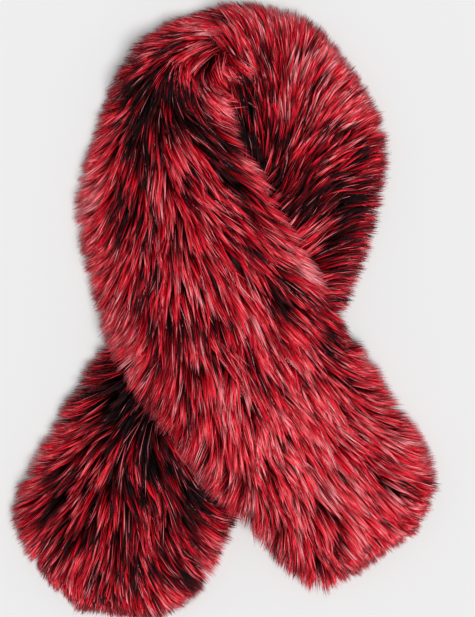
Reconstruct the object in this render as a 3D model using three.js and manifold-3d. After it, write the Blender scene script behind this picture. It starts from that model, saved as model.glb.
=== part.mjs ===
// A fur collar stole, laid flat and crossed over itself like a ribbon.
// Millimetres, +Z up. The floor is z = 0, and the origin is the middle of the floor it covers.
// The stole is one long band of fur in three stretches that show: the neck stretch on the right of
// the loop, the tail stretch that it becomes at the lower left, and the front stretch over both.
import * as THREE from 'three';
import { mergeVertices } from 'three/addons/utils/BufferGeometryUtils.js';
import Module from 'manifold-3d';

// Driving dimensions of the pile
const SEAM_GAP = 0.3; // between stretches, and between the front stretch and what it lies on
const RIM_HEIGHT = 13; // height over its support at which the edge of the pile reaches furthest
const CONTACT = 0.9; // share of a section's half width that rests flat
const EDGE_BAND = 0.1; // share inside that, in which the underside leaves what it lies on
const SINK = 3; // how far the front stretch's edge starts below what it lies on, before the cut
const HIDDEN_SHARE = 0.72; // share of the front stretch's half width that hides all below it
const DRAPE_REACH = 46; // distance over which the front stretch comes down beside what it lies on
const END_ROUNDING = 46; // length over which a free end comes down to its edge
const END_UNDERCUT = 3.5; // how far the underside of a free end stays back from its edge
const SHOULDER_POWER = 2.5; // the higher, the nearer the edge the pile stays flat
const CROWN_POWER = 0.6; // the lower, the steeper it comes down there

// Driving dimensions of the locks, the tufts that the guard hair falls into
const LOCK_PITCH = 30; // from one lock to the next along the band
const LOCK_DEPTH = 4.6; // from the back of a lock to the valley beside it
const LOCK_SUNK = 0.6; // share of that depth by which the valley is below the plain crown
const LOCK_REACH = 4.4; // from the valleys at the outline out to a lock's tip
const REACH_INSIDE = 0.5; // share of that reach by which the valleys are inside the section
const LOCK_LEAN = 46; // how far a lock runs on towards the end while it runs out to the edge
const LEAN_FADE = 80; // length over which that lean is lost beside a seam, a join or an end
const END_LOCKS = 6; // locks side by side across a free end
const END_FADE = 50; // length over which the locks of the sides turn into those of the end
const SIDE_OFFSET = 0.5; // the right side's locks are this share of a pitch ahead of the left's
const LOCK_UNEVENNESS = 0.3; // share of a pitch by which a lock is early or late

// How a lock changes on its way out from the middle of the band, as powers of the share out
const LEAN_POWER = 1.5; // its lean
const TIP_POWER = 6; // its reach past the section
const END_TIP_POWER = 4; // the reach of a free end's locks, on their way to that end

// A lock's back: a power of half a sine wave, and a height that swings about its mean
const BACK_POWER = 0.8;
const MEAN_HEIGHT = 0.76;
const HEIGHT_SWING = 0.24;
const SWING_PER_LOCK = 2.4; // radians from one lock to the next
const SWING_OUTWARD = 4; // and from the middle of the band to its edge

// Fineness
const ALONG = LOCK_PITCH / 4; // spacing of the sections
const ACROSS = 14; // faces over the top of a section, and as many under it
const SAMPLES = 400; // samples of a centreline, for its length

// Sections of each run of the band. x and y place the middle of a section, width is its size
// across the pile, turn is the way the band runs in degrees, and loft is the pile's height.
const UNDER_SECTIONS = [
  { x: 10, y: 212, width: 74, turn: -16, loft: 41 },
  { x: 26, y: 205, width: 89, turn: -39, loft: 41 },
  { x: 35, y: 199, width: 99, turn: -50, loft: 41 },
  { x: 41, y: 190, width: 104, turn: -62, loft: 41 },
  { x: 51, y: 168, width: 125, turn: -80, loft: 41 },
  { x: 55, y: 142, width: 150, turn: -90, loft: 41 },
  { x: 49, y: 108, width: 160, turn: -93, loft: 40 },
  { x: 40, y: 72, width: 160, turn: -101, loft: 38 },
  { x: 28, y: 36, width: 156, turn: -110, loft: 34 },
  { x: 7, y: -8, width: 156, turn: -116, loft: 31 },
  { x: -21, y: -54, width: 160, turn: -119, loft: 34 },
  { x: -47, y: -98, width: 166, turn: -120, loft: 40 },
  { x: -65, y: -132, width: 168, turn: -115, loft: 43 },
  { x: -80, y: -159, width: 172, turn: -109, loft: 44 },
  { x: -90, y: -185, width: 170, turn: -106, loft: 43 },
  { x: -92, y: -203, width: 152, turn: -105, loft: 42 },
  { x: -88, y: -223, width: 114, turn: -101, loft: 40 },
  { x: -83, y: -240, width: 68, turn: -99, loft: 38 },
];
const FRONT_SECTIONS = [
  { x: 10, y: 212, width: 74, turn: 164, loft: 41 },
  { x: -11, y: 206, width: 69, turn: 195, loft: 41 },
  { x: -30, y: 197, width: 78, turn: 230, loft: 42 },
  { x: -45, y: 175, width: 91, turn: 261, loft: 42 },
  { x: -51, y: 142, width: 119, turn: 282, loft: 41 },
  { x: -52, y: 112, width: 148, turn: 293, loft: 39 },
  { x: -39, y: 76, width: 164, turn: 295, loft: 37 },
  { x: -22, y: 35, width: 175, turn: 294, loft: 36 },
  { x: 5, y: -14, width: 178, turn: 293, loft: 36 },
  { x: 35, y: -61, width: 168, turn: 293, loft: 39 },
  { x: 64, y: -104, width: 162, turn: 296, loft: 43 },
  { x: 89, y: -136, width: 158, turn: 297, loft: 45 },
  { x: 103, y: -161, width: 149, turn: 297, loft: 45 },
  { x: 111, y: -180, width: 133, turn: 299, loft: 43 },
  { x: 114, y: -199, width: 92, turn: 305, loft: 40 },
];
const JOIN_SECTION = 9; // the under run is joined here, below the front stretch
const COVERED_FROM = 3; // the under section from which the front stretch may lie over it
const COVERING_FROM = 3; // the front section from which it may lie over the under run
const CLIMB_FROM = 84; // length from the seam at which the front stretch starts to climb
const CLIMB_LENGTH = 90; // and the length over which it comes up onto the neck stretch

const PILE_COLOURS = {
  neck_stretch: '#96262f',
  tail_stretch: '#7c1a21',
  front_stretch: '#a5303a',
};
const PILE_FINISH = { roughness: 0.62, metalness: 0 };
const FLOOR_MARGIN = 20; // how far the cutting form reaches below the floor

const wasm = await Module();
wasm.setup();

const clamp = (value) => Math.min(1, Math.max(0, value));
const smooth = (value) => clamp(value) ** 2 * (3 - 2 * clamp(value));

// A value between two rows of a table, on a Catmull-Rom curve through the four rows round it.
function between(rows, place, column) {
  const last = rows.length - 1;
  const k = Math.min(Math.floor(place), last - 1);
  const s = place - k;
  const [a, b, c, d] = [k - 1, k, k + 1, k + 2].map(
    (i) => rows[Math.min(Math.max(i, 0), last)][column],
  );
  return (
    b + 0.5 * s * (c - a + s * (2 * a - 5 * b + 4 * c - d + s * (3 * (b - c) + d - a)))
  );
}

// The section at a place of a table: its middle, half width, heading, left side and loft.
function sectionAt(rows, place) {
  const turn = THREE.MathUtils.degToRad(between(rows, place, 'turn'));
  return {
    middle: new THREE.Vector2(between(rows, place, 'x'), between(rows, place, 'y')),
    half: between(rows, place, 'width') / 2,
    heading: new THREE.Vector2(Math.cos(turn), Math.sin(turn)),
    side: new THREE.Vector2(-Math.sin(turn), Math.cos(turn)),
    loft: between(rows, place, 'loft'),
  };
}

// A run of the band: its sections at even steps, measured half along its middle and half along
// the longer of its edges, so that the outside of a bend is as fine as the rest.
function makeRun(rows) {
  const places = Array.from({ length: SAMPLES + 1 }, (_, i) => (i / SAMPLES) * (rows.length - 1));
  const sections = places.map((place) => sectionAt(rows, place));
  const lengths = [0];
  for (let i = 1; i <= SAMPLES; i++) {
    const [a, b] = [sections[i - 1], sections[i]];
    const step = (across) => point(a, across).distanceTo(point(b, across));
    lengths.push(lengths[i - 1] + 0.5 * (step(0) + Math.max(step(-1), step(1))));
  }
  const total = lengths[SAMPLES];
  const placeOf = (length) => {
    const i = Math.max(1, lengths.findIndex((l) => l >= Math.min(length, total)));
    const share = (length - lengths[i - 1]) / (lengths[i] - lengths[i - 1]);
    return places[i - 1] + share * (places[i] - places[i - 1]);
  };
  const sampleOf = (place) => Math.round((place / (rows.length - 1)) * SAMPLES);
  const pointAt = (length, across) => point(sectionAt(rows, placeOf(length)), across);
  // How much room a lock has: 1 where the sections are a full step apart, 0 inside a tight bend.
  const roomAt = (length, across) => {
    const before = pointAt(Math.max(length - ALONG, 0), across);
    const after = pointAt(Math.min(length + ALONG, total), across);
    return clamp(before.distanceTo(after) / (2 * ALONG));
  };
  return {
    rows,
    total,
    placeOf,
    roomAt,
    lengthOf: (place) => lengths[sampleOf(place)],
    sectionsFrom: (place) => sections.slice(sampleOf(place)),
  };
}

// The plan position at a share across a section, -1 at its right edge and 1 at its left.
function point(section, across) {
  return section.middle.clone().addScaledVector(section.side, across * section.half);
}

// The height of a section's pile at a share across it: a crown with full shoulders.
const crown = (across) => (1 - clamp(Math.abs(across)) ** SHOULDER_POWER) ** CROWN_POWER;

// How much of its height the pile has at a distance from a free end.
const endCrown = (distance) => crown(1 - clamp(distance / END_ROUNDING));

// Where a plan point lies on a list of sections: the one abreast of it, and the share across it.
function locate(sections, at) {
  let best = null;
  for (const section of sections) {
    const offset = at.clone().sub(section.middle);
    const along = Math.abs(offset.dot(section.heading));
    const across = offset.dot(section.side);
    const beside = Math.max(0, Math.abs(across) - section.half);
    if (along < ALONG && beside < DRAPE_REACH && (!best || along < best.along))
      best = { along, across: across / section.half, beside, section };
  }
  return best;
}

// The height that the front stretch lies on over a plan point: the pile of the run below it,
// and beside that pile a soft slope down to the floor.
function supportAt(sections, at) {
  const found = locate(sections, at);
  if (!found) return 0;
  const pile = RIM_HEIGHT + (found.section.loft - RIM_HEIGHT) * crown(found.across);
  return pile * smooth(1 - found.beside / DRAPE_REACH);
}

// How free a plan point is of the sections that lie over it: 1 in the open, 0 well under them.
function openness(sections, at) {
  const found = locate(sections, at);
  return found ? smooth((Math.abs(found.across) - HIDDEN_SHARE) / (1 - HIDDEN_SHARE)) : 1;
}

// A lock seen across, from 0 in the valley on each side of it to 1 on its rounded back. Each
// lock stands highest at a place of its own on its way out, so that no two are alike.
function lockAcross(phase, outward) {
  const back = Math.abs(Math.sin(Math.PI * phase)) ** BACK_POWER;
  const swing = Math.sin(SWING_PER_LOCK * Math.floor(phase) + SWING_OUTWARD * outward);
  return back * (MEAN_HEIGHT + HEIGHT_SWING * swing);
}

// How high the pile stands between valley and back, at a length along a run and a share across
// it. The locks run out to both sides, and turn towards a free end as toEnd comes down to 0.
function lockAt(length, across, toEnd) {
  const uneven = LOCK_UNEVENNESS * Math.sin(length / LOCK_PITCH + Math.sign(across));
  const sidePhase = length / LOCK_PITCH + uneven + (across < 0 ? SIDE_OFFSET : 0);
  const endPhase = (0.5 + 0.5 * across) * END_LOCKS;
  return THREE.MathUtils.lerp(
    lockAcross(endPhase, 1),
    lockAcross(sidePhase, Math.abs(across)),
    smooth(toEnd / END_FADE),
  );
}

// The pile of one run between two lengths along it, as rings of points. Each ring starts at the
// right edge, goes over the top to the left edge and comes back underneath. freeEnd rounds the
// far end, support gives the height that a place lies on, and open how free its locks are.
function makeRings(run, from, to, { freeEnd, support, open }) {
  const steps = Math.round((to - from) / ALONG);
  return Array.from({ length: steps + 1 }, (_, i) => {
    const length = from + ((to - from) * i) / steps;
    const toEnd = freeEnd ? to - length : Infinity;
    const lean = LOCK_LEAN * smooth((length - from) / LEAN_FADE) * smooth((to - length) / LEAN_FADE);
    const atEnd = 1 - smooth(toEnd / END_FADE);
    return Array.from({ length: 2 * ACROSS }, (_, j) => {
      const across = -Math.cos((Math.PI * j) / ACROSS);
      const outward = Math.abs(across);
      const room = run.roomAt(length, across);
      const section = sectionAt(run.rows, run.placeOf(length + lean * outward ** LEAN_POWER * room));
      const at = point(section, across);
      const openHere = open(at) * room;
      const lock = lockAt(length, across, toEnd);
      const tip = LOCK_REACH * (lock - REACH_INSIDE) * openHere * outward ** TIP_POWER;
      at.addScaledVector(section.side, Math.sign(across) * tip);
      at.addScaledVector(section.heading, LOCK_REACH * lock * atEnd ** END_TIP_POWER);
      const base = support(at, length);
      const rise = (section.loft - RIM_HEIGHT) * crown(across) * endCrown(toEnd);
      const relief = LOCK_DEPTH * (lock - LOCK_SUNK) * openHere * Math.min(1, rise / RIM_HEIGHT);
      if (j <= ACROSS) return new THREE.Vector3(at.x, at.y, base + RIM_HEIGHT + rise + relief);
      if (freeEnd && i === steps) at.addScaledVector(section.heading, -END_UNDERCUT);
      return new THREE.Vector3(at.x, at.y, undersideAt(outward, base));
    });
  });
}

// The height of the underside at a share out from the middle: flat on the floor, and curved up
// to the edge of the pile, which starts just inside whatever it lies on.
function undersideAt(outward, base) {
  if (outward < CONTACT - EDGE_BAND) return 0;
  if (outward < CONTACT) return Math.max(0, base - SINK);
  const share = (outward - CONTACT) / (1 - CONTACT);
  return base + RIM_HEIGHT * (1 - Math.sqrt(1 - share ** 2));
}

// The closed surface through rings, with each end closed by faces from its top to its underside.
function skin(rings) {
  const count = 2 * ACROSS;
  const positions = rings.flat().flatMap((p) => [p.x, p.y, p.z]);
  const index = [];
  const quad = (a, b, c, d) => index.push(a, c, b, a, d, c);
  for (let i = 0; i + 1 < rings.length; i++)
    for (let j = 0; j < count; j++) {
      const k = (j + 1) % count;
      quad(i * count + j, i * count + k, (i + 1) * count + k, (i + 1) * count + j);
    }
  const far = (rings.length - 1) * count;
  for (let j = 0; j < ACROSS; j++) {
    const [a, b] = [j, j + 1];
    const [c, d] = [(count - j - 1) % count, (count - j) % count];
    const add = (...corners) => {
      const flat = new Set(corners).size < 3;
      if (!flat) index.push(...corners);
    };
    add(a, b, c);
    add(a, c, d);
    add(far + a, far + c, far + b);
    add(far + a, far + d, far + c);
  }
  const geometry = new THREE.BufferGeometry();
  geometry.setAttribute('position', new THREE.Float32BufferAttribute(positions, 3));
  geometry.setIndex(index);
  return geometry;
}

// The same rings grown by the seam gap, with their undersides carried down past the floor: the
// form that shapes whatever lies on them.
function grownRings(rings) {
  const geometry = skin(rings);
  geometry.computeVertexNormals();
  const normals = geometry.getAttribute('normal');
  const count = 2 * ACROSS;
  return rings.map((ring, i) => {
    const moved = ring.map((p, j) => {
      const normal = new THREE.Vector3().fromBufferAttribute(normals, i * count + j);
      return p.clone().addScaledVector(normal, SEAM_GAP);
    });
    return moved.map((p, j) => {
      const above = moved[count - j];
      return j <= ACROSS ? p : new THREE.Vector3(above.x, above.y, -FLOOR_MARGIN);
    });
  });
}

function toSolid(geometry) {
  const merged = mergeVertices(geometry.clone().deleteAttribute('normal'), 1e-3);
  return new wasm.Manifold(
    new wasm.Mesh({
      numProp: 3,
      vertProperties: merged.getAttribute('position').array,
      triVerts: new Uint32Array(merged.index.array),
    }),
  );
}

// The main body of a cut, without any crumb that the cut left beside it.
function largestBody(solid) {
  return solid.decompose().reduce((a, b) => (a.volume() > b.volume() ? a : b));
}

function toGeometry(solid) {
  const mesh = solid.getMesh();
  const geometry = new THREE.BufferGeometry();
  geometry.setAttribute('position', new THREE.BufferAttribute(mesh.vertProperties, 3));
  geometry.setIndex(new THREE.BufferAttribute(mesh.triVerts, 1));
  return geometry;
}

function makeStretch(name, geometry) {
  geometry.computeVertexNormals();
  const material = new THREE.MeshStandardMaterial({ color: PILE_COLOURS[name], ...PILE_FINISH });
  const mesh = new THREE.Mesh(geometry, material);
  mesh.name = name;
  return mesh;
}

const underRun = makeRun(UNDER_SECTIONS);
const frontRun = makeRun(FRONT_SECTIONS);
const covering = frontRun.sectionsFrom(COVERING_FROM);
const covered = underRun.sectionsFrom(COVERED_FROM);
const join = underRun.lengthOf(JOIN_SECTION);

const onFloor = () => 0;
const belowFront = (at) => openness(covering, at);
const neckRings = makeRings(underRun, 0, join - SEAM_GAP / 2, {
  freeEnd: false,
  support: onFloor,
  open: belowFront,
});
const tailRings = makeRings(underRun, join + SEAM_GAP / 2, underRun.total, {
  freeEnd: true,
  support: onFloor,
  open: belowFront,
});
const frontRings = makeRings(frontRun, SEAM_GAP, frontRun.total, {
  freeEnd: true,
  support: (at, length) =>
    supportAt(covered, at) * smooth((length - CLIMB_FROM) / CLIMB_LENGTH),
  open: () => 1,
});
const cutter = toSolid(skin(grownRings([...neckRings, ...tailRings])));
const frontSolid = largestBody(toSolid(skin(frontRings)).subtract(cutter));

const stole = new THREE.Group();
stole.add(makeStretch('neck_stretch', skin(neckRings)));
stole.add(makeStretch('tail_stretch', skin(tailRings)));
stole.add(makeStretch('front_stretch', toGeometry(frontSolid)));

export default stole;
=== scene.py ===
import math

import bpy
import numpy as np
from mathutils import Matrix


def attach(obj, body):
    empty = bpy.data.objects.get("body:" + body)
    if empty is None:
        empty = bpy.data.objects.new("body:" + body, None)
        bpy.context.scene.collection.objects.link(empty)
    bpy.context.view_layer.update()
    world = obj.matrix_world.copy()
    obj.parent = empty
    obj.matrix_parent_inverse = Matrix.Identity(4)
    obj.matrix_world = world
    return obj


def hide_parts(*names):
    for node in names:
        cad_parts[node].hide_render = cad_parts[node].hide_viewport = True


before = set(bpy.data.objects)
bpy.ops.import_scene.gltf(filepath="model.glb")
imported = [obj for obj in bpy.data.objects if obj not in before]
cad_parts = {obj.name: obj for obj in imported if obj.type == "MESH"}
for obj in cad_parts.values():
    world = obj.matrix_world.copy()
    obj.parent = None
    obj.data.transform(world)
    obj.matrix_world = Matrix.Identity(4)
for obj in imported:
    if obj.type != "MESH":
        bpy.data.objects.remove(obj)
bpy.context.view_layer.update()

MM = 0.001

# The photo's frame. A pixel is PIXEL_MM wide, and PIXEL_ORIGIN is the pixel over the CAD's origin.
IMAGE_WIDTH, IMAGE_HEIGHT = 475, 617
PIXEL_MM = 0.8
PIXEL_ORIGIN = (224.75, 312.0)

# The form of the pile, with the same numbers as the part's source
RIM_HEIGHT = 13  # height at which the pile reaches furthest out
CONTACT = 0.9  # share of the half width that rests flat
SHOULDER_POWER = 2.5  # the higher, the further out the pile stays high
CROWN_POWER = 0.6  # the lower, the steeper it comes down there
END_ROUNDING = 46  # length over which it comes down at a free end
DRAPE_REACH = 46  # distance over which the front comes down beside what it lies on
JOIN_SECTION = 9  # the under run's section at which the neck is joined to the tail
SEAM_GAP = 0.3
SAMPLES = 400  # of a run

# The front's hair starts to climb onto the neck's at this length from the seam, and is up after
# this much more. Its solid climbs later and more slowly, from 84 on and over 90.
CLIMB_FROM = 56
CLIMB_LENGTH = 50

# x, y, width, turn in degrees, loft. The under run is the neck and then the tail.
UNDER_SECTIONS = [
    (10, 212, 74, -16, 41), (26, 205, 89, -39, 41), (35, 199, 99, -50, 41), (41, 190, 104, -62, 41),
    (51, 168, 125, -80, 41), (55, 142, 150, -90, 41), (49, 108, 160, -93, 40),
    (40, 72, 160, -101, 38), (28, 36, 156, -110, 34), (7, -8, 156, -116, 31),
    (-21, -54, 160, -119, 34), (-47, -98, 166, -120, 40), (-65, -132, 168, -115, 43),
    (-80, -159, 172, -109, 44), (-90, -185, 170, -106, 43), (-92, -203, 152, -105, 42),
    (-88, -223, 114, -101, 40), (-83, -240, 68, -99, 38),
]
FRONT_SECTIONS = [
    (10, 212, 74, 164, 41), (-11, 206, 69, 195, 41), (-30, 197, 78, 230, 42),
    (-45, 175, 91, 261, 42), (-51, 142, 119, 282, 41), (-52, 112, 148, 293, 39),
    (-39, 76, 164, 295, 37), (-22, 35, 175, 294, 36), (5, -14, 178, 293, 36),
    (35, -61, 168, 293, 39), (64, -104, 162, 296, 43), (89, -136, 158, 297, 45),
    (103, -161, 149, 297, 45), (111, -180, 133, 299, 43), (114, -199, 92, 305, 40),
]

# Plan maps of the runs
CELL = 2.0
MAP_LOW = np.array([-210.0, -285.0])
MAP_SHAPE = (211, 286)
MAP_STEP = 2  # every second sample of a run is enough
ABREAST = 3.0  # a cell this near a section's line is abreast of it
OFF_LINE = 8.0  # further off, each 8 mm counts like a half width out from the middle
BEHIND_SEAM = 60.0  # how far a run's first section is carried on behind the seam
FOLD_FADE = 40  # length over which the front's fold ends at the join
ABOVE_FADE = 10  # distance over which the under run's edge comes to be below the front
NOSE = 1.5  # the last of the rim, where underside and top are held apart
RIM_SHARE = 0.97  # how much of the rim's curve is kept, so that it never stands upright

# The hide and the underfur
HIDE_THICKNESS = 1.2
HIDE_LIFT = 0.1  # clear of what it lies on
HIDE_EDGE_POWER = 12  # the higher, the nearer its cut edge the hide is still thick
UNDERFUR_LIFT = 0.1  # clear of the hide
UNDERFUR_DEPTH = 10  # from the pile's top down to the underfur
UNDERFUR_ROUNDING = 30  # length over which it comes down at a free end
UNDERFUR_LEAST = 0.05  # share of its height that it keeps there
PILE_OVERHANG = 22  # how far the guard hair reaches past the hide's edge
OVERHANG_SHARE = 0.45  # and at most this share of a narrow section's half width
END_OVERHANG = 16  # how far the hair reaches past the hide at a free end
END_REACH = 4  # how far its tips reach past the last section there
RING_FACES = 18  # across the top of a ring
RING_STEP = 6.0
END_RINGS = (3.0, 1.6, 0.7, 0.2)  # distances of the rings that round a free end
NO_END = 1e3  # stands for the distance to the end where there is no free one

# Where locks of guard hair are rooted. Under the front's edge roots go on for the first of
# ROOTS_UNDER, and for the second more where the front has climbed.
ROOTS_UNDER = (10, 26)
ROOTS_FADE = 8
ROOTS_AT_SEAM = 20  # this near the front's seam they are kept
ROOT_LEVELS = (0.03, 0.95)  # least and most share of the pile's height

# How the hair lies, beside its comb table
COMB_REACH = 9.0  # how far a row of the table reaches
LOW_ROOTS = (0.62, 0.4)  # locks rooted below this level turn outward, fully so this much lower
NEAR_EDGE = (34, 16)  # so do those this near the outline, fully so this much nearer
COMBED_IN = (0.35, 0.6)  # the latter only as far as the comb doesn't point outward already
LOW_AWAY, EDGE_AWAY, MOST_AWAY = 0.75, 0.5, 0.85  # how much each turns, and the most at all
CALM_FOLD = 0.8  # how much less they turn where the front folds over the neck
SECOND_AT = 0.6  # share of its length at which a lock reads the comb again
SECOND_AWAY = 0.6  # share of the outward turn that is kept there
SECOND_WANDER = 1.3  # how much more it wanders there
LOCK_TURN, SECOND_TURN = 0.07, 0.09  # random turns in radians

# Slow waves over the pile: size and wavelength. The wander is in radians, the edge in
# millimetres, the length in shares of it.
WANDER = (0.13, 42)
SHORT_WANDER = (0.08, 15)
LENGTH_WAVES = (0.12, 30)
EDGE_WAVES = (0.8, 26)
DYE_WAVES = (0.08, 24)

# How far inside the outline a tip may end, how much further inside where the front folds over
# the neck, and how much further out where it lies over the tail
TIPS_FROM, TIPS_TO = -2.2, 0.8
EDGE_MEAN = 0.6  # sets off the mean of the waves of the edge
FOLD_BACK = 5.5
SPILL = 4.5
CUT_ROUNDS = 3
MOST_CUT = 0.3  # share of a lock's length that one round of cutting leaves at least

# The levels of the tips
RISE = (0.15, 0.5)  # locks rooted above this level rise to the top, fully so this much higher
SUNK, SUNK_POWER = 0.55, 1.6  # how much less one may rise, the rarer the higher the power
TIP_SPREAD = 0.04  # how much their levels differ at random
TIP_LEVELS = (0.04, 1.04)

# A lock's strands
LOCK_MEMBERS = 6  # strands that run together into one pointed lock
LOCK_RADIUS = 3.4  # how far a member's root is from its leader's
LOCK_TIP = 0.14  # share of that radius that a lock keeps at its tip
LOCK_POWER = 1.7  # the higher, the sooner a lock narrows
LOOSE = 0.45  # how far a tip strays
MEMBER_REACH = (-0.16, 0.06)  # how much shorter or longer a member is
OPEN_FRINGE = 0.62  # how much more of its width a lock keeps in the fringe,
EVEN_FRINGE = 0.65  # how much more evenly its members end there,
CALM_FRINGE = 0.6  # and how much less it moves into its tuft
TUFT_CELL = 12.0  # the spacing of tufts, towards which the tips of locks gather
TUFT_GRID = (48, 64)
TUFT_STRAY = 0.9  # share of its cell in which a tuft's middle is drawn
TUFT_PULL = 0.3
TUFT_POWER = 1.6  # the higher, the nearer the tip the pull starts
STRAND_LENGTH = (29, 43)
STRAND_RADIUS = (0.3, 0.47)
STRAND_AT = np.array([0.0, 0.36, 0.7, 1.0])  # where a strand has its points, from root to tip
STRAND_TAPER = np.array([0.8, 1.0, 0.76])  # its thickness at each of them but the tip
MEMBER_ROOTS, MEMBER_TIPS = 0.02, 0.035  # how members differ in level
RISE_POWER = 1.9  # the higher, the nearer the root a strand rises
DROOP = 0.06  # how far a tip droops in level,
DROOP_FROM, DROOP_OVER = 0.7, 0.3  # from which share of the strand on, and over how much
LEAST_HEIGHT = 0.5  # of a strand's middle line
LEAST_CLEARANCE = 0.05  # of its skin above the floor

# The dye and painted light and shade, from 0 for charcoal over maroon and crimson to 1 for pale
# pink
DYE_MEAN = 0.5
LOCK_SPREAD, STRAND_SPREAD = 0.22, 0.12  # from lock to lock, and within a lock
AT_TIP = (0.5, 0.5)  # the weights in curve_place of a lock's tip,
SHOWN_AT = (0.49, 0.36)  # and of its place at t = 0.85, where its dye shows
MOST_PATCH = 1.3  # the most that patches add up to
DARKER, BRIGHTER = 0.46, 0.34  # what a patch of strength 1 does to the dye
FRINGE = (16, 14)  # the fringe starts this near the outline, and is full this much nearer
PALE_AND_LIT_EDGE = 0.05  # brighter in the fringe: partly the pale tips that lie together there, partly painted light at the edge
PAINTED_FOLD_SHADE, FOLD_SHADE_REACH = 0.13, 34  # painted shade, darker up to this far from where it goes under the front
PAINTED_HIGHLIGHTS = 0.13  # share of pale strands, painted highlights in place of glints along the hair
FEWER_PAINTED_HIGHLIGHTS = 0.8  # and how much smaller it is in the darkest patches
PAINTED_HIGHLIGHT_DYE, PAINTED_HIGHLIGHT_SPREAD = 0.86, 0.1
PAINTED_HIGHLIGHT_THICKNESS = 0.75
DYE_LIMITS = (0.02, 0.98)
DYE_STRIP = 0.004  # half the width of a strand's strip in its map

# The studio
FLOOR_REACH = 4.0  # in metres
SKY_STRENGTH = 0.38
LAMP_STRENGTH = 3.2
LAMP_SPREAD = 28  # in degrees, as is the tilt
LAMP_TILT = (18, 12)
LENS, SENSOR = 90.0, 36.0

# Where the front's hair parts and has to be fuller, first at its whorl. x, y and radius in the
# photo's pixels, then how much denser it is.
FULLER = [(212, 56, 17, 2.6), (160, 215, 15, .5), (152, 262, 15, .6), (160, 318, 14, .4)]

# Which way the hair lies. x and y in the photo's pixels, then degrees, with 90 up the photo.
FRONT_COMB = [
    (240, 40, 160), (219, 30, 178), (189, 29, 186), (158, 30, 198), (134, 53, 203), (122, 75, 213),
    (112, 98, 223), (205, 44, 188), (184, 54, 222), (210, 52, 190), (180, 70, 275), (194, 90, 308),
    (213, 101, 316), (226, 124, 318), (224, 60, 326), (246, 77, 322), (206, 68, 205),
    (198, 77, 255), (204, 89, 310), (214, 84, 335), (196, 58, 208), (184, 80, 298), (236, 66, 320),
    (152, 62, 208), (150, 95, 235), (130, 128, 230), (147, 140, 262), (170, 128, 304),
    (195, 125, 318), (89, 165, 221), (80, 190, 217), (83, 206, 211), (89, 232, 213), (96, 251, 217),
    (102, 277, 227), (110, 312, 228), (127, 181, 245), (121, 238, 240), (131, 277, 245),
    (146, 194, 268), (166, 213, 271), (159, 258, 266), (159, 309, 271), (185, 162, 308),
    (198, 194, 308), (217, 206, 312), (210, 232, 304), (185, 258, 280), (204, 276, 292),
    (236, 258, 304), (242, 206, 320), (236, 155, 325), (258, 178, 330), (278, 208, 328),
    (300, 240, 325), (318, 265, 323), (261, 219, 325), (259, 250, 318), (249, 309, 299),
    (188, 290, 279), (136, 340, 232), (166, 398, 252), (191, 398, 265), (201, 434, 268),
    (194, 364, 274), (222, 392, 283), (222, 343, 293), (259, 315, 296), (278, 364, 300),
    (264, 406, 291), (243, 448, 281), (214, 475, 254), (233, 503, 265), (306, 291, 320),
    (334, 288, 335), (348, 350, 326), (376, 378, 340), (394, 400, 350), (306, 406, 305),
    (348, 420, 315), (390, 420, 336), (320, 462, 305), (278, 478, 297), (355, 478, 312),
    (393, 465, 336), (425, 478, 350), (406, 516, 330), (367, 516, 311), (329, 542, 301),
    (291, 529, 286), (285, 567, 282), (316, 580, 290), (261, 530, 283),
]
NECK_COMB = [
    (242, 22, 146), (255, 17, 128), (266, 32, 114), (274, 20, 103), (285, 28, 98), (297, 25, 92),
    (308, 22, 80), (322, 34, 62), (309, 58, 70), (333, 85, 49), (345, 67, 50), (351, 78, 45),
    (357, 113, 37), (339, 131, 40), (375, 125, 22), (363, 149, 20), (381, 155, 5), (375, 171, 0),
    (378, 190, 356), (339, 161, 25), (291, 174, 65), (278, 131, 88), (260, 119, 99),
    (242, 113, 117), (254, 77, 108), (303, 119, 70), (315, 149, 55), (248, 142, 112), (374, 225, 1),
    (350, 205, 20), (322, 198, 35), (348, 245, 8), (345, 275, 355), (336, 298, 350), (305, 240, 42),
    (298, 212, 52), (325, 232, 30), (326, 262, 14),
]
TAIL_COMB = [
    (110, 372, 202), (85, 378, 198), (60, 402, 196), (57, 421, 193), (40, 450, 200), (32, 487, 212),
    (24, 512, 222), (76, 500, 235), (93, 463, 225), (110, 410, 208), (134, 398, 240),
    (108, 449, 247), (115, 513, 262), (93, 533, 250), (60, 562, 238), (84, 580, 248),
    (137, 458, 270), (144, 482, 283), (153, 513, 283), (166, 462, 302), (178, 436, 308),
    (185, 487, 301), (156, 501, 290), (207, 507, 342), (220, 516, 347), (214, 531, 333),
    (195, 533, 315), (214, 548, 325), (201, 562, 325), (169, 533, 292), (176, 562, 312),
    (163, 581, 305), (186, 592, 326), (156, 609, 289), (125, 590, 275), (105, 578, 262),
    (131, 539, 268), (118, 609, 279), (93, 600, 258),
]
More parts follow.
